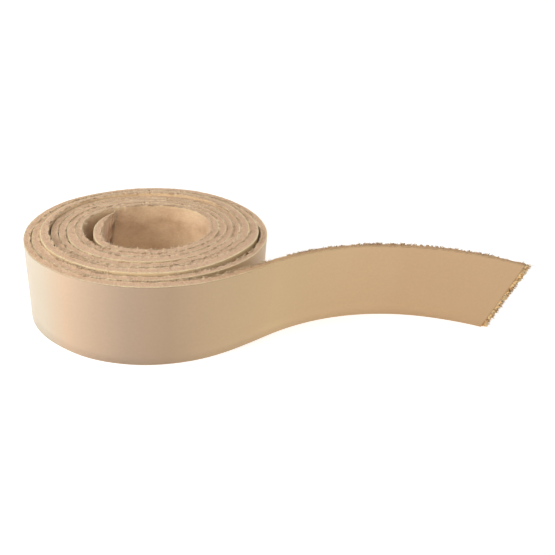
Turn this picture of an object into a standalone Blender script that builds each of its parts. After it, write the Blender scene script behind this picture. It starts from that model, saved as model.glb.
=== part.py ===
"""Rolled leather strap: one flat strip of vegetable-tanned leather, wound on edge into a coil
of about seven and a half turns, with its free end swinging out to one side.

Metres, +Z up. The strap stands on its long cut edge on z = 0, +X points along the free end,
and the origin is under the middle of the bounding box. The smooth grain side faces out of the
coil and the suede flesh side faces in.

Angles are in degrees, anticlockwise from +X as seen from above, and keep counting from turn
to turn: the outermost full turn begins at 0, and each turn further in is 360 less.
"""

import math

import bmesh
import bpy
import numpy as np

MM = 0.001

# The strip as cut.
WIDTH = 38.1 * MM  # 1 1/2 in
THICKNESS = 3.35 * MM  # 8 to 9 oz leather
END_SLANT = 11.0 * MM  # both ends are cut askew: the top edge is this much longer than the bottom edge

# The coil, measured to the grain face.
COIL_START = -2378.0  # the inner end
COIL_END = 295.0  # where the free end leaves the coil
CORE_RADIUS = 28.6 * MM
WINDING_GAP = 0.17 * MM
OVALS = ((3.6 * MM, 72.0, 1), (1.3 * MM, 52.0, 2))  # how far, in which direction, lobes
# Spots where the strap was wound loosely: angle, half width in degrees, and how far it stands off.
LOOSE_SPOTS = (
    (-2290.0, 40.0, 1.5 * MM),
    (-1992.0, 78.0, 5.6 * MM),  # the crescent gap behind the inner end
    (-1554.0, 88.0, 2.4 * MM),
    (-1518.0, 53.0, 0.8 * MM),
    (-695.0, 63.0, 1.4 * MM),
    (-516.0, 38.0, 1.5 * MM),
    (-400.0, 92.0, 2.2 * MM),
    (-117.0, 52.0, 1.8 * MM),
    (-23.0, 55.0, 1.5 * MM),
    (88.0, 51.0, 2.0 * MM),
    (320.0, 98.0, 3.2 * MM),
)
# Stretches of the coil that have slid upwards: from, to, ramp at each end in degrees, and how far.
RAISED = (
    (-1590.0, -1485.0, 30.0, 0.5 * MM),
    (-705.0, -350.0, 35.0, 0.9 * MM),
    (-690.0, -490.0, 40.0, 0.5 * MM),
    (-470.0, -355.0, 25.0, 0.4 * MM),
)

# The free end, from where it leaves the coil: distance along it, and how sharply it curves there.
TAIL_LENGTH = 168.5 * MM
TAIL_BENDS = ((0.0, 1 / 57.7), (39.0, 0.0), (46.0, -1 / 118.0), (175.0, -1 / 86.5))  # mm, 1/mm
TAIL_LEAN = 1.0 * MM  # at its very end the foot stands this far behind the top edge
LEAN_REACH = 30.0 * MM

# How finely the shape is divided.
ANGLE_STEP = 6.0
TAIL_STEP = 4.0 * MM
FINE_ANGLE = 1.0
FINE_STEP = 1.0 * MM
SLANT_REACH = 30.0 * MM  # the stations lean gradually towards a slanted end over this length

LEATHER_COLOUR = (0.62, 0.40, 0.22, 1.0)
LEATHER_ROUGHNESS = 0.65


def loose_lift(angle, centre, half_width, height):
    """A loose spot lifts the turn that it is in, and every later turn wound over it."""
    offset = angle - centre
    if offset > 180.0:
        offset = (offset + 180.0) % 360.0 - 180.0
    if abs(offset) >= half_width:
        return 0.0
    return height * math.cos(math.pi * offset / (2.0 * half_width)) ** 2


def grain_radius(angle):
    """Distance of the strap's outer, grain face from the coil's axis."""
    turns = (angle - COIL_START) / 360.0
    radius = CORE_RADIUS + turns * (THICKNESS + WINDING_GAP)
    for reach, direction, lobes in OVALS:
        radius += reach * math.cos(lobes * math.radians(angle - direction))
    for centre, half_width, height in LOOSE_SPOTS:
        radius += loose_lift(angle, centre, half_width, height)
    return radius


def raised_height(angle):
    """How far the bottom edge stands above the surface that the coil rests on."""
    height = 0.0
    for first, last, ramp, rise in RAISED:
        share = min((angle - first) / ramp, (last - angle) / ramp, 1.0)
        if share > 0.0:
            height += rise * share * share * (3.0 - 2.0 * share)
    return height


def route():
    """The line of the grain face in plan, finely divided: x, y, height, distance along, and the
    distances of the stations, which fall at the same angles in every turn."""
    points = []
    station_rows = []
    angles = np.arange(COIL_START, COIL_END + FINE_ANGLE / 2, FINE_ANGLE)
    for row, angle in enumerate(angles):
        radius = grain_radius(angle)
        turned = math.radians(angle)
        points.append((radius * math.cos(turned), radius * math.sin(turned), raised_height(angle)))
        if row == 0 or (round(angle) % ANGLE_STEP == 0 and angle < COIL_END):
            station_rows.append(row)
    station_rows.append(len(points) - 1)
    (x0, y0, _), (x1, y1, _) = points[-2:]
    heading = math.atan2(y1 - y0, x1 - x0)
    steps = round(TAIL_LENGTH / FINE_STEP)
    along, bends = zip(*TAIL_BENDS)
    for step in range(1, steps + 1):
        middle = (step - 0.5) * TAIL_LENGTH / steps
        turn = np.interp(middle / MM, along, bends) / MM * TAIL_LENGTH / steps
        heading += turn / 2
        x1 += math.cos(heading) * TAIL_LENGTH / steps
        y1 += math.sin(heading) * TAIL_LENGTH / steps
        heading += turn / 2
        points.append((x1, y1, 0.0))
        if step % round(TAIL_STEP / FINE_STEP) == 0 or step == steps:
            station_rows.append(len(points) - 1)
    points = np.array(points)
    distance = np.concatenate([[0.0], np.cumsum(np.hypot(*np.diff(points[:, :2], axis=0).T))])
    return points, distance, distance[station_rows]


def leaned(stations, share_up, length):
    """The stations' distances at one height: low down, they draw back from both slanted ends."""
    from_start = np.clip(1.0 - stations / SLANT_REACH, 0.0, 1.0)
    from_end = np.clip(1.0 - (length - stations) / SLANT_REACH, 0.0, 1.0)
    return stations + (1.0 - share_up) * END_SLANT * (from_start - from_end)


def foot_offset(places, length):
    """How far the foot stands towards the flesh side of the top edge, where the free end leans."""
    share = np.clip(1.0 - (length - places) / LEAN_REACH, 0.0, 1.0)
    return TAIL_LEAN * share * share * (3.0 - 2.0 * share)


def rings():
    """Four corners at each station: grain bottom, grain top, flesh top, flesh bottom."""
    points, distance, stations = route()
    tangent = np.gradient(points[:, :2], distance, axis=0)
    tangent /= np.linalg.norm(tangent, axis=1, keepdims=True)
    columns = (points[:, 0], points[:, 1], points[:, 2], tangent[:, 0], tangent[:, 1])
    corners = []
    for share_up, depth in ((0.0, 0.0), (1.0, 0.0), (1.0, THICKNESS), (0.0, THICKNESS)):
        places = leaned(stations, share_up, distance[-1])
        inward = depth + (1.0 - share_up) * foot_offset(places, distance[-1])
        x, y, z, tx, ty = (np.interp(places, distance, column) for column in columns)
        corners.append(np.stack([x - ty * inward, y + tx * inward, z + share_up * WIDTH], axis=1))
    return np.stack(corners, axis=1)


def leather():
    material = bpy.data.materials.new("veg_tan_leather")
    material.use_nodes = True
    shader = material.node_tree.nodes["Principled BSDF"]
    shader.inputs["Base Color"].default_value = LEATHER_COLOUR
    shader.inputs["Roughness"].default_value = LEATHER_ROUGHNESS
    shader.inputs["Metallic"].default_value = 0.0
    material.diffuse_color = LEATHER_COLOUR
    return material


def make_strap():
    corners = rings()
    low = corners.min(axis=(0, 1))
    high = corners.max(axis=(0, 1))
    corners -= ((low[0] + high[0]) / 2, (low[1] + high[1]) / 2, low[2])
    shape = bmesh.new()
    rows = [[shape.verts.new(corner) for corner in ring] for ring in corners]
    for ring, following in zip(rows, rows[1:]):
        for side in range(4):
            after = (side + 1) % 4
            shape.faces.new((ring[side], following[side], following[after], ring[after]))
    shape.faces.new(rows[0])
    shape.faces.new(reversed(rows[-1]))
    bmesh.ops.recalc_face_normals(shape, faces=shape.faces)
    mesh = bpy.data.meshes.new("leather_strap")
    shape.to_mesh(mesh)
    shape.free()
    mesh.materials.append(leather())
    mesh.shade_smooth()
    mesh.set_sharp_from_angle(angle=math.radians(40.0))
    strap = bpy.data.objects.new("leather_strap", mesh)
    bpy.context.scene.collection.objects.link(strap)


for existing in list(bpy.data.objects):
    bpy.data.objects.remove(existing)
make_strap()
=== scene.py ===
"""The looks of a rolled leather strap: one strip of vegetable-tanned leather on edge, wound into a
coil with a free end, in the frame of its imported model.

Every point of the leather is first given in the flat strip's own coordinates: how far along it
lies from the inner end, how high above the lower edge, and how deep below the smooth grain face.
place() then winds those coordinates into the coil. Lengths are in metres, angles in degrees.
"""

import math

import bpy
import numpy as np
from mathutils import Matrix, Vector


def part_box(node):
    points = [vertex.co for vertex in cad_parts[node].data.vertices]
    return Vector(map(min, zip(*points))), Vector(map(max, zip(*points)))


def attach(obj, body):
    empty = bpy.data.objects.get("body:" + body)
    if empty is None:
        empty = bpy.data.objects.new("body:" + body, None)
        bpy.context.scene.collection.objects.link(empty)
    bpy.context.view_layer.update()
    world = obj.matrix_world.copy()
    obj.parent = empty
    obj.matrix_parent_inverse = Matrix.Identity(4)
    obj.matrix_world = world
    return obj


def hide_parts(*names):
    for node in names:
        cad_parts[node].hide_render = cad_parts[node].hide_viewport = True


MM = 0.001

# The strip and its coil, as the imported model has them. Both ends are cut askew: the top edge is
# longer than the bottom edge by END_SLANT at each.
WIDTH = 38.1 * MM
THICKNESS = 3.35 * MM
END_SLANT = 11.0 * MM
SLANT_REACH = 30.0 * MM
COIL_START = -2378.0  # the inner end
COIL_END = 295.0  # where the free end leaves the coil
CORE_RADIUS = 28.6 * MM
WINDING_GAP = 0.17 * MM
OVALS = ((3.6 * MM, 72.0, 1), (1.3 * MM, 52.0, 2))  # how far, in which direction, lobes
# Spots where the strap was wound loosely: angle, half width in degrees, and how far it stands off.
LOOSE_SPOTS = (
    (-2290.0, 40.0, 1.5 * MM),
    (-1992.0, 78.0, 5.6 * MM),
    (-1554.0, 88.0, 2.4 * MM),
    (-1518.0, 53.0, 0.8 * MM),
    (-695.0, 63.0, 1.4 * MM),
    (-516.0, 38.0, 1.5 * MM),
    (-400.0, 92.0, 2.2 * MM),
    (-117.0, 52.0, 1.8 * MM),
    (-23.0, 55.0, 1.5 * MM),
    (88.0, 51.0, 2.0 * MM),
    (320.0, 98.0, 3.2 * MM),
)
# Stretches of the coil that have slid upwards: from, to, ramp at each end in degrees, and how far.
RAISED = (
    (-1590.0, -1485.0, 30.0, 0.5 * MM),
    (-705.0, -350.0, 35.0, 0.9 * MM),
    (-690.0, -490.0, 40.0, 0.5 * MM),
    (-470.0, -355.0, 25.0, 0.4 * MM),
)
# The free end, from where it leaves the coil: distance along it, and how sharply it curves there.
TAIL_LENGTH = 168.5 * MM
TAIL_BENDS = ((0.0, 1 / 57.7), (39.0, 0.0), (46.0, -1 / 118.0), (175.0, -1 / 86.5))  # mm, 1/mm
TAIL_LEAN = 1.0 * MM  # at its very end the foot stands this far behind the top edge
LEAN_REACH = 30.0 * MM

# How finely the route and the visible leather are divided.
FINE_ANGLE = 0.5
FINE_STEP = 0.5 * MM
STATION_STEP = 0.65 * MM

# The flesh side swells at the cut edge, or stops short of its depth, until it just presses into the
# turn behind it. In the eye there is no turn behind it.
SWELL = 1.8 * MM
SHORTFALL = 0.5 * MM
SWELL_REACH = 5.0 * MM  # how far down from the top edge
SWELL_IN_EYE = 0.4 * MM
TOUCHING = -0.25 * MM
# Where the coil gapes instead: from, to and the gap's width, which is uneven by a share of itself.
GAPE_RAMP = 6.0
GAPE_UNEVEN = 0.7
GAPING = (
    (-2030.0, -1930.0, 9.0 * MM),
    (-1625.0, -1608.0, 0.25 * MM),
    (-1560.0, -1490.0, 0.25 * MM),
    (-1250.0, -1222.0, 0.5 * MM),
    (-925.0, -870.0, 0.25 * MM),
    (-600.0, -505.0, 0.8 * MM),
    (-352.0, -330.0, 0.3 * MM),
    (-132.0, -50.0, 0.6 * MM),
    (-50.0, 10.0, 2.0 * MM),
    (197.0, 221.0, 0.6 * MM),
    (285.0, 330.0, 0.25 * MM),
)
# The free end's flesh side swells too, most where it leaves the coil.
TAIL_SWELL = 0.1 * MM
TAIL_SWELL_AT_COIL = 1.2 * MM
TAIL_SWELL_REACH = 50.0 * MM
# Both ends thin out: over what length, and to what share of the thickness.
SKIVED_START = (17.0 * MM, 0.08)
SKIVED_END = (60.0 * MM, 0.9)

# The loose fibres: candidates along the top edge, some of which are left out, and how many stand
# at each end.
TUFTS = 5600
FIBRES_PER_TUFT = 4
EDGE_FIBRES = 22000
END_FIBRES = 1400

# The grain side's tone drifts over this last stretch of the strip, partly the hide's own tone and
# partly painted light and shade.
TONE_AND_SHADE_REACH = 290.0 * MM
# Painted shade: what the cut edge's colour is multiplied by along the free end, and over what
# length that begins.
TAIL_EDGE_SHADE = (232, 224, 204)
TAIL_SHADE_REACH = 40.0 * MM

# The camera, from the point on the floor under the coil's axis.
CAMERA_FROM_COIL = (45.5 * MM, -260.7 * MM, 155.4 * MM)
CAMERA_PITCH = 27.37
CAMERA_ROLL = 3.91
CAMERA_LENS = 38.27
CAMERA_SHIFT = (0.0612, -0.0172)

# The key light, from the coil's axis, and its width and power in watts.
KEY_AZIMUTH = 220.0
KEY_ELEVATION = 28.0
KEY_DISTANCE = 0.55
KEY_SIZE = 0.28
KEY_POWER = 1.8

# The surrounding light's strength near the horizon and overhead, and between which heights of the
# sky, as shares of the way up, it goes from one to the other.
HORIZON = 1.0
ZENITH = 0.54
SKY_FADE = (0.3, 0.6)

# The floor, and how much it glows near the coil's axis and away from it.
FLOOR_RADIUS = 6.0
FLOOR_CORNERS = 96
FLOOR_GLOW = (0.15, 0.5)
GLOW_FADE = (30.0 * MM, 70.0 * MM)


# ---------------------------------------------------------------- the strip's route


def loose_lift(angle, centre, half_width, height):
    """A loose spot lifts the turn that it is in, and every later turn wound over it."""
    offset = angle - centre
    offset = np.where(offset > 180.0, (offset + 180.0) % 360.0 - 180.0, offset)
    lift = height * np.cos(math.pi * offset / (2.0 * half_width)) ** 2
    return np.where(np.abs(offset) < half_width, lift, 0.0)


def grain_radius(angle):
    """Distance of the strap's outer, grain face from the coil's axis."""
    turns = (angle - COIL_START) / 360.0
    radius = CORE_RADIUS + turns * (THICKNESS + WINDING_GAP)
    for reach, direction, lobes in OVALS:
        radius = radius + reach * np.cos(lobes * np.radians(angle - direction))
    for centre, half_width, height in LOOSE_SPOTS:
        radius = radius + loose_lift(angle, centre, half_width, height)
    return radius


def raised_height(angle):
    """How far the bottom edge stands above the floor."""
    height = np.zeros_like(angle)
    for first, last, ramp, rise in RAISED:
        share = np.clip(np.minimum(angle - first, last - angle) / ramp, 0.0, 1.0)
        height += rise * share * share * (3.0 - 2.0 * share)
    return height


def make_route():
    """The grain face in plan about the coil's axis: the distance along the strip, rows of x, y,
    height of the lower edge and tangent, and the angle, which stays put along the free end."""
    angles = np.arange(COIL_START, COIL_END + FINE_ANGLE / 2, FINE_ANGLE)
    radius = grain_radius(angles)
    x = radius * np.cos(np.radians(angles))
    y = radius * np.sin(np.radians(angles))
    steps = round(TAIL_LENGTH / FINE_STEP)
    step = TAIL_LENGTH / steps
    middles = (np.arange(steps) + 0.5) * step
    along, bends = zip(*TAIL_BENDS)
    turns = np.interp(middles / MM, along, bends) / MM * step
    heading = math.atan2(y[-1] - y[-2], x[-1] - x[-2]) + np.cumsum(turns) - turns / 2
    tail_x = x[-1] + np.cumsum(np.cos(heading)) * step
    tail_y = y[-1] + np.cumsum(np.sin(heading)) * step
    x = np.concatenate([x, tail_x])
    y = np.concatenate([y, tail_y])
    z = np.concatenate([raised_height(angles), np.zeros(steps)])
    angles = np.concatenate([angles, np.full(steps, COIL_END + 1.0)])
    distance = np.concatenate([[0.0], np.cumsum(np.hypot(np.diff(x), np.diff(y)))])
    tangent = np.stack([np.gradient(x, distance), np.gradient(y, distance)])
    tangent /= np.linalg.norm(tangent, axis=0)
    return distance, np.stack([x, y, z, tangent[0], tangent[1]]), angles


DISTANCE, ROUTE, ANGLES = make_route()
LENGTH = float(DISTANCE[-1])


def wound(along, height, depth):
    """Points, shape (..., 3), about the coil's axis, of points in the strip's coordinates. The
    strip is cut askew at both ends and leans at its free end, and past its ends it runs straight
    on."""
    along, height, depth = np.broadcast_arrays(along, height, depth)
    down = 1.0 - height / WIDTH
    from_start = np.clip(1.0 - along / SLANT_REACH, 0.0, 1.0)
    from_end = np.clip(1.0 - (LENGTH - along) / SLANT_REACH, 0.0, 1.0)
    spot = along + down * END_SLANT * (from_start - from_end)
    x, y, z, tangent_x, tangent_y = (np.interp(spot, DISTANCE, row) for row in ROUTE)
    past = spot - np.clip(spot, 0.0, LENGTH)
    share = np.clip(1.0 - (LENGTH - spot) / LEAN_REACH, 0.0, 1.0)
    inward = depth + down * TAIL_LEAN * share * share * (3.0 - 2.0 * share)
    x = x + tangent_x * past - tangent_y * inward
    y = y + tangent_y * past + tangent_x * inward
    return np.stack([x, y, z + height], axis=-1)


def place(along, height, depth):
    """World points of points in the strip's coordinates."""
    return wound(along, height, depth) + COIL_AXIS


def find_coil_axis(low, high):
    """Where the coil's axis meets the floor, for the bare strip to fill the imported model's box."""
    along = np.linspace(0.0, LENGTH, 4000)[:, None]
    edges = wound(along, np.array([0.0, WIDTH]), np.array([0.0, THICKNESS])).reshape(-1, 3)
    middle = (edges.min(axis=0) + edges.max(axis=0)) / 2
    x = (low[0] + high[0]) / 2 - middle[0]
    y = (low[1] + high[1]) / 2 - middle[1]
    return np.array([x, y, low[2]])


def flat_length():
    """The strip's length before it was wound, which the middle of its thickness keeps."""
    middle = wound(np.linspace(0.0, LENGTH, 8000), WIDTH, THICKNESS / 2)
    return float(np.linalg.norm(np.diff(middle, axis=0), axis=1).sum())


def thickness(along):
    """The leather's thickness, which is skived down at both ends."""
    reach, share = SKIVED_START
    start = share + (1.0 - share) * np.clip(along / reach, 0.0, 1.0)
    reach, share = SKIVED_END
    end = share + (1.0 - share) * np.clip((LENGTH - along) / reach, 0.0, 1.0)
    return THICKNESS * np.minimum(start, end)


def swell(along):
    """How far the flesh side goes past its nominal depth at the top edge."""
    angle = np.interp(along, DISTANCE, ANGLES)
    room = grain_radius(angle) - grain_radius(angle - 360.0) - THICKNESS
    room = np.where(angle - 360.0 < COIL_START, SWELL_IN_EYE, room)
    past_coil = along - DISTANCE[np.searchsorted(ANGLES, COIL_END)]
    leaving = TAIL_SWELL_AT_COIL * np.clip(1.0 - past_coil / TAIL_SWELL_REACH, 0.0, 1.0)
    room = np.where(angle > COIL_END, TAIL_SWELL + leaving, room)
    kept = np.full_like(room, TOUCHING)
    uneven = 1.0 + GAPE_UNEVEN * noise(7, along, 0.0, 2.5 * MM, 1.0)
    for first, last, width in GAPING:
        share = np.clip(np.minimum(angle - first, last - angle) / GAPE_RAMP + 1.0, 0.0, 1.0)
        kept = np.maximum(kept, share * width * uneven)
    return np.clip(room - kept, -SHORTFALL, SWELL)


# ---------------------------------------------------------------- noise and meshes


def noise(seed, across, spread, size_across, size_spread):
    """Smooth random values between -1 and 1 over two arrays that broadcast together."""
    across, spread = np.broadcast_arrays(across / size_across, spread / size_spread)
    across = across - across.min()
    spread = spread - spread.min()
    rows = np.floor(across).astype(int)
    columns = np.floor(spread).astype(int)
    grid = np.random.default_rng(seed).uniform(-1.0, 1.0, (rows.max() + 2, columns.max() + 2))
    a = across - rows
    b = spread - columns
    a = a * a * (3.0 - 2.0 * a)
    b = b * b * (3.0 - 2.0 * b)
    near = grid[rows, columns] * (1.0 - b) + grid[rows, columns + 1] * b
    far = grid[rows + 1, columns] * (1.0 - b) + grid[rows + 1, columns + 1] * b
    return near * (1.0 - a) + far * a


def make_object(name, points, faces, materials, face_materials, strip):
    """A smooth mesh object whose points carry their strip coordinates as an attribute."""
    mesh = bpy.data.meshes.new(name)
    mesh.from_pydata(points.tolist(), [], faces)
    for material in materials:
        mesh.materials.append(material)
    mesh.polygons.foreach_set("material_index", np.asarray(face_materials, np.int32))
    attribute = mesh.attributes.new("strip", "FLOAT_VECTOR", "POINT")
    attribute.data.foreach_set("vector", strip.astype(np.float32).ravel())
    mesh.shade_smooth()
    mesh.update()
    made = bpy.data.objects.new(name, mesh)
    bpy.context.scene.collection.objects.link(made)
    return made


def tube_faces(rows, columns):
    """Quads of a closed tube of rows x columns points, and the two end caps last."""
    index = np.arange(rows * columns).reshape(rows, columns)
    beside = np.roll(index, -1, axis=1)
    quads = np.stack([index[:-1], index[1:], beside[1:], beside[:-1]], axis=-1)
    faces = quads.reshape(-1, 4).tolist()
    faces.append(index[0].tolist())
    faces.append(index[-1, ::-1].tolist())
    return faces


# ---------------------------------------------------------------- the strap

GRAIN, EDGE, FLESH, TORN = range(4)


def strap_section():
    """The cross-section, going up the grain face, over the top edge, down the flesh face and back
    under the bottom edge: heights, depths as shares of the thickness, and the material from each
    point to the next."""
    grain_heights = np.array([0.05, 8.0, 16.0, 24.0, 32.0, 37.6, 38.03]) * MM
    edge_shares = np.array([0.02, 0.06, 0.13, 0.22, 0.34, 0.46, 0.58, 0.70, 0.81, 0.90, 0.96])
    flesh_heights = np.array([38.0, 37.4, 36.6, 35.2, 31.0, 22.0, 10.0, 0.4]) * MM
    bottom_shares = np.array([0.85, 0.03])
    edge_heights = np.full(len(edge_shares), WIDTH)
    bottom_heights = np.zeros(len(bottom_shares))
    heights = np.concatenate([grain_heights, edge_heights, flesh_heights, bottom_heights])
    grain_shares = np.zeros(len(grain_heights))
    flesh_shares = np.ones(len(flesh_heights))
    shares = np.concatenate([grain_shares, edge_shares, flesh_shares, bottom_shares])
    kinds = [GRAIN] * len(grain_heights)
    kinds += [EDGE] * len(edge_shares)
    kinds += [FLESH] * (len(flesh_heights) - 1)
    kinds += [EDGE] * (len(bottom_shares) + 1)
    return heights, shares, kinds


def make_strap(materials):
    """The whole strip, with its surface roughened face by face."""
    heights, shares, kinds = strap_section()
    along = np.linspace(0.0, LENGTH, round(LENGTH / STATION_STEP) + 1)[:, None]
    height = np.broadcast_to(heights, (len(along), len(heights))).copy()
    near_top = np.clip(1.0 - (WIDTH - heights) / SWELL_REACH, 0.0, 1.0) ** 2
    depth = shares * (thickness(along) + swell(along) * near_top)
    strip = np.stack(np.broadcast_arrays(along, height, shares * THICKNESS), axis=-1)

    # The top edge: a slow wander, and the roughness of the cut, which grows towards the flesh side.
    top = (heights > WIDTH - 0.2 * MM) & (shares > 0.0)
    rough = (0.10 + 0.16 * shares[top] ** 2) * noise(2, along, depth[:, top], 0.9 * MM, 0.7 * MM)
    rough += 0.10 * shares[top] * noise(6, along, depth[:, top], 2.3 * MM, 1.5 * MM)
    height[:, top] += (rough + 0.15 * noise(1, along, 0.0, 18 * MM, 1.0)) * MM
    # The flesh side: a ragged rim, and a nap over the whole face.
    flesh = shares == 1.0
    ragged = noise(3, along, heights[flesh], 1.2 * MM, 1.1 * MM) * near_top[flesh]
    nap = noise(4, along, heights[flesh], 1.6 * MM, 5.0 * MM)
    depth[:, flesh] += (0.22 * ragged + 0.05 * nap - 0.05) * MM
    # The grain side: almost flat.
    grain = shares == 0.0
    depth[:, grain] += 0.03 * MM * noise(5, along, heights[grain], 16 * MM, 12 * MM)

    points = place(along, height, depth).reshape(-1, 3)
    points[:, 2] = np.maximum(points[:, 2], 0.0)
    faces = tube_faces(len(along), len(heights))
    face_materials = kinds * (len(along) - 1) + [FLESH, TORN]
    return make_object("strap", points, faces, materials, face_materials, strip.reshape(-1, 3))


def make_torn_end(name, at_start, reach, ragged, seed, material):
    """The torn fibre layers that stand out past the grain face at an end of the strip."""
    heights = np.linspace(0.25 * MM, WIDTH - 0.15 * MM, 190)[:, None]
    turn = np.linspace(0.0, 2.0 * math.pi, 24, endpoint=False)[None, :]
    reach = reach + ragged * reach * noise(seed, heights, turn, 2.6 * MM, 9.0)
    reach = reach + 0.7 * ragged * reach * noise(seed + 1, heights, turn, 0.7 * MM, 1.1)
    end = 0.0 if at_start else LENGTH
    leather = float(thickness(end))
    outward = np.cos(turn) * np.where(np.cos(turn) > 0.0, reach, 1.0 * MM)
    along = end + (-outward if at_start else outward)
    depth = 0.6 * leather + np.sin(turn) * 0.35 * leather
    depth = depth + 0.32 * MM * noise(seed + 2, heights, turn, 0.9 * MM, 0.9)
    height = heights + 0.2 * MM * noise(seed + 3, heights, turn, 1.1 * MM, 0.8)
    height = np.clip(height, 0.02 * MM, None)
    strip = np.stack(np.broadcast_arrays(along, height, depth), axis=-1)
    points = place(along, height, depth).reshape(-1, 3)
    faces = tube_faces(len(heights), turn.shape[1])
    if not at_start:
        faces = [face[::-1] for face in faces]
    face_materials = [0] * len(faces)
    return make_object(name, points, faces, [material], face_materials, strip.reshape(-1, 3))


# ---------------------------------------------------------------- loose fibres


def make_fibres(name, roots, reaches, radius, tip, seed, material):
    """Thin curled fibres: roots and reaches are rows in strip coordinates. Each fibre is a closed
    three-sided tube with a bend in its middle, and tip is its tip's share of its radius."""
    random = np.random.default_rng(seed)
    count = len(roots)
    size = np.linalg.norm(reaches, axis=1, keepdims=True)
    curl = random.normal(0.0, 0.22, (count, 3)) * size
    curl_tip = random.normal(0.0, 0.25, (count, 3)) * size
    thick = radius * random.uniform(0.6, 1.4, (count, 1))
    spine = [
        (roots, thick),
        (roots + 0.5 * reaches + curl, thick * 0.8),
        (roots + reaches + curl_tip, thick * tip),
    ]
    start = random.uniform(0.0, 2.0 * math.pi, (count, 1))
    rings = []
    strips = []
    for middle, half in spine:
        centre = place(middle[:, 0], middle[:, 1], middle[:, 2])
        for corner in range(3):
            turned = start + corner * 2.0 * math.pi / 3.0
            towards = [np.cos(turned), np.sin(turned), np.sin(turned * 2.0 + 1.0)]
            rings.append(centre + np.concatenate(towards, axis=1) * half)
            strips.append(middle)
    points = np.stack(rings, axis=1)
    points[:, :, 2] = np.maximum(points[:, :, 2], 0.02 * MM)
    strip = np.stack(strips, axis=1)
    faces = []
    for base in range(0, count * 9, 9):
        faces.append((base + 2, base + 1, base))
        for low in (base, base + 3):
            for corner in range(3):
                after = (corner + 1) % 3
                faces.append((low + corner, low + after, low + 3 + after, low + 3 + corner))
        faces.append((base + 6, base + 7, base + 8))
    points = points.reshape(-1, 3)
    return make_object(name, points, faces, [material], [0] * len(faces), strip.reshape(-1, 3))


def edge_tufts(material):
    """Clumps of fibres torn up by the cut, along the flesh side of the top edge."""
    random = np.random.default_rng(71)
    clumps = random.uniform(0.0, LENGTH, TUFTS)
    drift = noise(72, clumps, 0.0, 6.0 * MM, 1.0) + 0.5 * noise(73, clumps, 0.0, 30.0 * MM, 1.0)
    clumps = clumps[drift + random.uniform(-0.9, 0.9, len(clumps)) > -0.05]
    along = np.repeat(clumps, FIBRES_PER_TUFT)
    count = len(along)
    along = along + random.normal(0.0, 0.16 * MM, count)
    depth = thickness(along) + swell(along) - np.abs(random.normal(0.15, 0.3, count)) * MM
    height = WIDTH - random.uniform(-0.05, 0.25, count) * MM
    roots = np.stack([along, height, depth], axis=1)
    length = random.uniform(0.4 * MM, 0.9 * MM, count)[:, None]
    aim = np.stack(
        [
            random.normal(0.0, 0.5, count),
            random.normal(0.6, 0.25, count),
            random.normal(0.15, 0.4, count),
        ],
        axis=1,
    )
    return make_fibres("edge_tufts", roots, aim * length, 0.16 * MM, 0.7, 74, material)


def edge_fibres(material):
    """The fine fringe along the flesh side of the top edge, in drifts."""
    random = np.random.default_rng(21)
    along = random.uniform(0.0, LENGTH, EDGE_FIBRES)
    drift = noise(22, along, 0.0, 2.2 * MM, 1.0) + 0.5 * noise(23, along, 0.0, 9.0 * MM, 1.0)
    along = along[drift + random.uniform(-0.9, 0.9, len(along)) > 0.1]
    count = len(along)
    depth = thickness(along) + swell(along) - np.abs(random.normal(-0.05, 0.5, count)) * MM
    height = WIDTH - random.uniform(-0.1, 0.4, count) * MM
    roots = np.stack([along, height, depth], axis=1)
    length = random.gamma(3.0, 0.2 * MM, count)[:, None]
    aim = np.stack(
        [
            random.normal(0.0, 0.8, count),
            random.normal(0.35, 0.35, count),
            random.normal(0.45, 0.5, count),
        ],
        axis=1,
    )
    return make_fibres("edge_fibres", roots, aim * length, 0.06 * MM, 0.25, 24, material)


def end_fibres(name, at_start, reach, radius, seed, material):
    """The torn tufts at an end of the strip, rooted as far as reach past it."""
    random = np.random.default_rng(seed)
    end = 0.0 if at_start else LENGTH
    sign = -1.0 if at_start else 1.0
    height = random.uniform(0.5 * MM, WIDTH - 0.2 * MM, END_FIBRES)
    depth = thickness(end) * random.uniform(0.25, 1.0, END_FIBRES)
    outward = random.uniform(0.15, 0.9, END_FIBRES) * reach
    length = random.uniform(0.25, 0.7, END_FIBRES) * reach
    aim = np.stack(
        [
            sign * random.normal(1.0, 0.4, END_FIBRES),
            random.normal(0.0, 0.5, END_FIBRES),
            random.normal(0.1, 0.4, END_FIBRES),
        ],
        axis=1,
    )
    roots = np.stack([end + sign * outward, height, depth], axis=1)
    return make_fibres(name, roots, aim * length[:, None], radius, 0.4, seed + 1, material)


# ---------------------------------------------------------------- materials


def srgb(red, green, blue):
    """A colour given as display values well above 0 and up to 255, as a shader's linear values."""
    linear = [((value / 255 + 0.055) / 1.055) ** 2.4 for value in (red, green, blue)]
    return (*linear, 1.0)


def grey(value):
    return (value, value, value, 1.0)


def add(tree, kind, inputs=None, **settings):
    """A new node. Each input takes a value or another node's output socket."""
    node = tree.nodes.new(kind)
    for name, value in settings.items():
        setattr(node, name, value)
    for name, value in (inputs or {}).items():
        if isinstance(value, bpy.types.NodeSocket):
            tree.links.new(value, node.inputs[name])
        else:
            node.inputs[name].default_value = value
    return node


def start_material(name, roughness, sheen=0.0):
    """A new material, its node tree and shader, and the socket with the strip's coordinates."""
    material = bpy.data.materials.new(name)
    material.use_nodes = True
    tree = material.node_tree
    shader = tree.nodes["Principled BSDF"]
    shader.inputs["Roughness"].default_value = roughness
    shader.inputs["Sheen Weight"].default_value = sheen
    shader.inputs["Sheen Roughness"].default_value = 0.5
    strip = add(tree, "ShaderNodeAttribute", attribute_name="strip").outputs["Vector"]
    return material, tree, shader, strip


def stretched(tree, strip, along, up, through):
    """The strip's coordinates scaled apart, so that a texture's spots are long one way."""
    return add(
        tree,
        "ShaderNodeMapping",
        {"Vector": strip, "Scale": (along, up, through)},
    ).outputs["Vector"]


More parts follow.
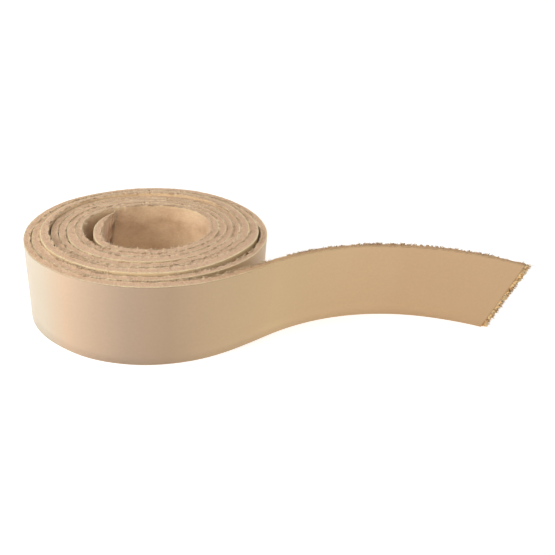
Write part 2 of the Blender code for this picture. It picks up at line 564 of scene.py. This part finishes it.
def speckle(tree, vector, per_metre, detail=3.0, roughness=0.55):
    """Smooth random values around a half, with about so many spots to a metre."""
    return add(
        tree,
        "ShaderNodeTexNoise",
        {"Vector": vector, "Scale": per_metre, "Detail": detail, "Roughness": roughness},
    ).outputs["Fac"]


def ramp(tree, factor, stops):
    """Colours that follow a factor, from pairs of factor and colour."""
    node = add(tree, "ShaderNodeValToRGB", {"Fac": factor})
    elements = node.color_ramp.elements
    while len(elements) < len(stops):
        elements.new(0.5)
    for element, (position, colour) in zip(elements, stops):
        element.position = position
        element.color = colour
    return node.outputs["Color"]


def mix(tree, factor, first, second, blend="MIX"):
    """Two colours mixed. The numbers are a colour mix node's own sockets."""
    node = add(tree, "ShaderNodeMix", data_type="RGBA", blend_type=blend)
    for socket, value in ((0, factor), (6, first), (7, second)):
        if isinstance(value, bpy.types.NodeSocket):
            tree.links.new(value, node.inputs[socket])
        else:
            node.inputs[socket].default_value = value
    return node.outputs[2]


def mottled(tree, factor, colour, pattern, stops):
    """The colour darkened and lightened by a pattern, from pairs of pattern value and grey."""
    greys = ramp(tree, pattern, [(position, grey(value)) for position, value in stops])
    return mix(tree, factor, colour, greys, "MULTIPLY")


def bump(tree, shader, height, distance, strength, under=None):
    """Relief on the shader, laid over the relief under it, if that is given."""
    inputs = {"Height": height, "Distance": distance, "Strength": strength}
    if under is not None:
        inputs["Normal"] = under
    normal = add(tree, "ShaderNodeBump", inputs).outputs["Normal"]
    tree.links.new(normal, shader.inputs["Normal"])
    return normal


def faded(tree, value, between, results=(0.0, 1.0)):
    """Goes from the first result to the second while the value crosses the span between."""
    inputs = {
        "Value": value,
        "From Min": between[0],
        "From Max": between[1],
        "To Min": results[0],
        "To Max": results[1],
    }
    return add(tree, "ShaderNodeMapRange", inputs).outputs["Result"]


def plus_scaled(tree, value, other, factor):
    """The value plus the factor times the other."""
    inputs = {0: other, 1: factor, 2: value}
    return add(tree, "ShaderNodeMath", inputs, operation="MULTIPLY_ADD").outputs[0]


def tail_edge_painted_shade(tree, strip, colour):
    """Painted shade: the cut edge and its fibres are darker and browner along the free end than on
    the coil.
    """
    along = add(tree, "ShaderNodeSeparateXYZ", {"Vector": strip}).outputs["X"]
    leaves_coil = LENGTH - TAIL_LENGTH
    share = faded(tree, along, (leaves_coil, leaves_coil + TAIL_SHADE_REACH))
    return mix(tree, share, colour, srgb(*TAIL_EDGE_SHADE), "MULTIPLY")


def grain_material():
    """Smooth, matt leather under faint clouds and fine pores; its tone drifts along the strip,
    partly the hide's own tone and partly painted light and shade.
    """
    material, tree, shader, strip = start_material("grain_side", 0.5)
    along = add(tree, "ShaderNodeSeparateXYZ", {"Vector": strip}).outputs["X"]
    tone_and_shade = faded(tree, along, (LENGTH - TONE_AND_SHADE_REACH, LENGTH))
    # The tone is partly the hide's own and partly painted light and shade: lighter on the coil's
    # left, darker at its front.
    colour = ramp(
        tree,
        tone_and_shade,
        [
            (0.0, srgb(214, 186, 144)),
            (0.07, srgb(184, 170, 150)),
            (0.18, srgb(184, 169, 146)),
            (0.23, srgb(187, 158, 129)),
            (0.33, srgb(160, 135, 111)),
            (0.39, srgb(164, 136, 107)),
            (0.46, srgb(186, 157, 119)),
            (0.58, srgb(201, 170, 124)),
            (0.70, srgb(196, 163, 120)),
            (0.82, srgb(184, 150, 110)),
            (1.0, srgb(178, 145, 106)),
        ],
    )
    clouds = speckle(tree, stretched(tree, strip, 1.0, 1.6, 1.0), 22.0, 2.0)
    colour = mottled(tree, 0.5, colour, clouds, [(0.3, 0.95), (0.7, 1.03)])
    mottle = speckle(tree, strip, 700.0, 4.0, 0.6)
    colour = mottled(tree, 0.4, colour, mottle, [(0.3, 0.88), (0.7, 1.03)])
    pores = speckle(tree, strip, 3600.0, 2.0, 0.6)
    colour = mottled(tree, 0.3, colour, pores, [(0.3, 0.85), (0.55, 1.0)])
    tree.links.new(colour, shader.inputs["Base Color"])
    rough = ramp(tree, mottle, [(0.3, grey(0.36)), (0.7, grey(0.46))])
    tree.links.new(rough, shader.inputs["Roughness"])
    fine = bump(tree, shader, pores, 0.03 * MM, 0.6)
    bump(tree, shader, mottle, 0.06 * MM, 0.4, fine)
    return material


def edge_material():
    """The raw cut edge: a thin pale line under the grain, then a mottled fibrous core."""
    material, tree, shader, strip = start_material("cut_edge", 0.95, 0.1)
    depth = add(tree, "ShaderNodeSeparateXYZ", {"Vector": strip}).outputs["Z"]
    share = add(tree, "ShaderNodeMath", {0: depth, 1: THICKNESS}, operation="DIVIDE").outputs[0]
    wander = speckle(tree, strip, 900.0, 2.0)
    share = plus_scaled(tree, share, wander, 0.1)
    layers = ramp(
        tree,
        share,
        [
            (0.05, srgb(248, 227, 178)),
            (0.15, srgb(246, 223, 174)),
            (0.22, srgb(230, 192, 155)),
            (0.55, srgb(225, 184, 148)),
            (0.85, srgb(232, 195, 158)),
            (1.0, srgb(245, 220, 182)),
        ],
    )
    clumps = speckle(tree, stretched(tree, strip, 0.8, 1.0, 1.0), 1500.0, 3.0, 0.65)
    colour = mottled(tree, 1.0, layers, clumps, [(0.3, 0.74), (0.68, 1.13)])
    drift = speckle(tree, strip, 300.0, 2.0)
    colour = mottled(tree, 1.0, colour, drift, [(0.3, 0.94), (0.7, 1.04)])
    pits = speckle(tree, strip, 1900.0, 2.0)
    colour = mottled(tree, 1.0, colour, pits, [(0.28, 0.55), (0.38, 1.0)])
    # Painted shade darkens the cut edge along the free end.
    tree.links.new(tail_edge_painted_shade(tree, strip, colour), shader.inputs["Base Color"])
    bump(tree, shader, clumps, 0.35 * MM, 0.9)
    return material


def flesh_material():
    """Suede: short fibres brushed along the strip, with darker and paler patches, a pale rim under
    the top edge and painted shade in brown blots near the inner end."""
    material, tree, shader, strip = start_material("flesh_side", 0.95, 0.3)
    patches = speckle(tree, stretched(tree, strip, 1.0, 1.5, 1.0), 60.0, 3.0)
    colour = ramp(
        tree,
        patches,
        [(0.3, srgb(202, 164, 127)), (0.5, srgb(226, 192, 153)), (0.7, srgb(238, 207, 167))],
    )
    spot = add(tree, "ShaderNodeSeparateXYZ", {"Vector": strip})
    rim = faded(tree, spot.outputs["Y"], (WIDTH - 1.8 * MM, WIDTH), (0.0, 0.6))
    colour = mix(tree, rim, colour, srgb(248, 224, 180))
    # Painted shade: brown blots darken the flesh side near the inner end.
    shade_near_end = faded(tree, spot.outputs["X"], (0.0, 12.0 * MM), (0.9, 0.0))
    shade_blots = speckle(tree, stretched(tree, strip, 1.0, 0.4, 1.0), 450.0, 3.0)
    shade_blots = ramp(tree, shade_blots, [(0.42, srgb(196, 164, 142)), (0.58, grey(1.0))])
    colour = mix(tree, shade_near_end, colour, shade_blots, "MULTIPLY")
    nap = speckle(tree, stretched(tree, strip, 0.45, 1.0, 1.0), 1700.0, 4.0, 0.7)
    colour = mottled(tree, 0.8, colour, nap, [(0.3, 0.8), (0.7, 1.05)])
    tree.links.new(colour, shader.inputs["Base Color"])
    bump(tree, shader, nap, 0.3 * MM, 0.8)
    return material


def torn_material():
    """Torn fibre layers at the free end, in golden, cream and greyish patches, with a broken dark
    line along the grain face, partly dark specks and partly painted shadow at the grain layer's
    step."""
    material, tree, shader, strip = start_material("torn_fibres", 0.9, 0.2)
    patches = speckle(tree, strip, 420.0, 4.0, 0.75)
    colour = ramp(
        tree,
        patches,
        [
            (0.35, srgb(158, 112, 72)),
            (0.42, srgb(210, 164, 104)),
            (0.52, srgb(234, 202, 150)),
            (0.60, srgb(184, 164, 128)),
            (0.68, srgb(240, 220, 178)),
        ],
    )
    # A broken dark line next to the strip's end: partly dark specks, partly painted shadow at the
    # step below the grain face.
    along = add(tree, "ShaderNodeSeparateXYZ", {"Vector": strip}).outputs["X"]
    wander = speckle(tree, strip, 600.0, 3.0, 0.7)
    reached = plus_scaled(tree, along, wander, 1.3 * MM)
    past = faded(tree, reached, (LENGTH + 0.55 * MM, LENGTH + 0.95 * MM))
    colour = mix(tree, past, srgb(140, 96, 60), colour)
    tree.links.new(colour, shader.inputs["Base Color"])
    clumps = speckle(tree, strip, 2200.0, 3.0, 0.7)
    bump(tree, shader, clumps, 0.25 * MM, 0.8)
    return material


def fibre_material():
    """The fringe: pale fibres in uneven tones, with painted shade along the free end."""
    material, tree, shader, strip = start_material("loose_fibres", 0.9, 0.3)
    tone = speckle(tree, strip, 900.0, 3.0, 0.7)
    colour = ramp(
        tree,
        tone,
        [(0.3, srgb(206, 168, 132)), (0.5, srgb(234, 204, 166)), (0.7, srgb(246, 224, 188))],
    )
    # Painted shade darkens the fibres along the free end.
    tree.links.new(tail_edge_painted_shade(tree, strip, colour), shader.inputs["Base Color"])
    return material


# ---------------------------------------------------------------- floor, light and camera


def make_floor(coil_axis):
    """A white floor that glows, so that no dark shadow shows on it, but less in the coil's eye."""
    mesh = bpy.data.meshes.new("floor")
    turn = np.linspace(0.0, 2.0 * math.pi, FLOOR_CORNERS, endpoint=False)
    rim = FLOOR_RADIUS * np.stack([np.cos(turn), np.sin(turn), np.zeros(FLOOR_CORNERS)], axis=1)
    mesh.from_pydata(rim.tolist(), [], [list(range(FLOOR_CORNERS))])
    material = bpy.data.materials.new("floor")
    material.use_nodes = True
    tree = material.node_tree
    shader = tree.nodes["Principled BSDF"]
    shader.inputs["Base Color"].default_value = grey(0.9)
    shader.inputs["Roughness"].default_value = 0.9
    shader.inputs["Specular IOR Level"].default_value = 0.1
    shader.inputs["Emission Color"].default_value = grey(1.0)
    spot = add(tree, "ShaderNodeNewGeometry").outputs["Position"]
    inputs = {0: spot, 1: tuple(coil_axis)}
    from_coil = add(tree, "ShaderNodeVectorMath", inputs, operation="DISTANCE").outputs["Value"]
    glow = faded(tree, from_coil, GLOW_FADE, FLOOR_GLOW)
    tree.links.new(glow, shader.inputs["Emission Strength"])
    mesh.materials.append(material)
    floor = bpy.data.objects.new("floor", mesh)
    bpy.context.scene.collection.objects.link(floor)


def make_key_light(coil_axis):
    level = KEY_DISTANCE * math.cos(math.radians(KEY_ELEVATION))
    from_coil = (
        level * math.cos(math.radians(KEY_AZIMUTH)),
        level * math.sin(math.radians(KEY_AZIMUTH)),
        KEY_DISTANCE * math.sin(math.radians(KEY_ELEVATION)),
    )
    place_at = Vector(coil_axis) + Vector(from_coil)
    aim_at = Vector(coil_axis) + Vector((0.0, 0.0, WIDTH / 2))
    light = bpy.data.lights.new("key", "AREA")
    light.shape = "DISK"
    light.size = KEY_SIZE
    light.energy = KEY_POWER
    made = bpy.data.objects.new("key", light)
    made.location = place_at
    made.rotation_euler = (aim_at - place_at).to_track_quat("-Z", "Y").to_euler()
    bpy.context.scene.collection.objects.link(made)


def make_surround():
    """White light from all round, brighter near the horizon than overhead."""
    world = bpy.data.worlds.new("studio")
    world.use_nodes = True
    tree = world.node_tree
    direction = add(tree, "ShaderNodeTexCoord").outputs["Generated"]
    up = add(tree, "ShaderNodeSeparateXYZ", {"Vector": direction}).outputs["Z"]
    strength = faded(tree, up, SKY_FADE, (HORIZON, ZENITH))
    tree.links.new(strength, tree.nodes["Background"].inputs["Strength"])
    tree.nodes["Background"].inputs["Color"].default_value = grey(1.0)
    bpy.context.scene.world = world


def make_camera(coil_axis):
    data = bpy.data.cameras.new("camera")
    data.sensor_width = 36.0
    data.lens = CAMERA_LENS
    data.shift_x, data.shift_y = CAMERA_SHIFT
    data.clip_start = 0.01
    data.clip_end = 50.0
    camera = bpy.data.objects.new("camera", data)
    bpy.context.scene.collection.objects.link(camera)
    camera.matrix_world = (
        Matrix.Translation(Vector(coil_axis) + Vector(CAMERA_FROM_COIL))
        @ Matrix.Rotation(math.radians(90.0 - CAMERA_PITCH), 4, "X")
        @ Matrix.Rotation(math.radians(CAMERA_ROLL), 4, "Z")
    )
    bpy.context.scene.camera = camera


# ---------------------------------------------------------------- putting it together

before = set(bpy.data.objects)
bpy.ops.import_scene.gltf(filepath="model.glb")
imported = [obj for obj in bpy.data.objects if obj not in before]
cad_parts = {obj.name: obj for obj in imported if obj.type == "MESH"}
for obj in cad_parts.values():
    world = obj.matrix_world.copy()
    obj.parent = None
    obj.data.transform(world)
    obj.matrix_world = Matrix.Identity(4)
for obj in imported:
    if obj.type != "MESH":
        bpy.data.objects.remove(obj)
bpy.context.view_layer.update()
COIL_AXIS = find_coil_axis(*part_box("leather_strap"))

strap_materials = [grain_material(), edge_material(), flesh_material(), torn_material()]
loose = fibre_material()
strap = make_strap(strap_materials)
extras = [
    make_torn_end("torn_inner_end", True, 1.5 * MM, 0.5, 31, strap_materials[FLESH]),
    make_torn_end("torn_free_end", False, 1.8 * MM, 0.48, 41, strap_materials[TORN]),
    edge_tufts(loose),
    edge_fibres(loose),
    end_fibres("inner_end_fibres", True, 1.8 * MM, 0.07 * MM, 51, loose),
    end_fibres("free_end_fibres", False, 1.7 * MM, 0.16 * MM, 61, strap_materials[TORN]),
]
for piece in (strap, *extras):
    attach(piece, "root")
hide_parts("leather_strap")
flat_length()

make_floor(COIL_AXIS)
make_key_light(COIL_AXIS)
make_surround()
make_camera(COIL_AXIS)
bpy.context.scene.view_settings.view_transform = "Standard"
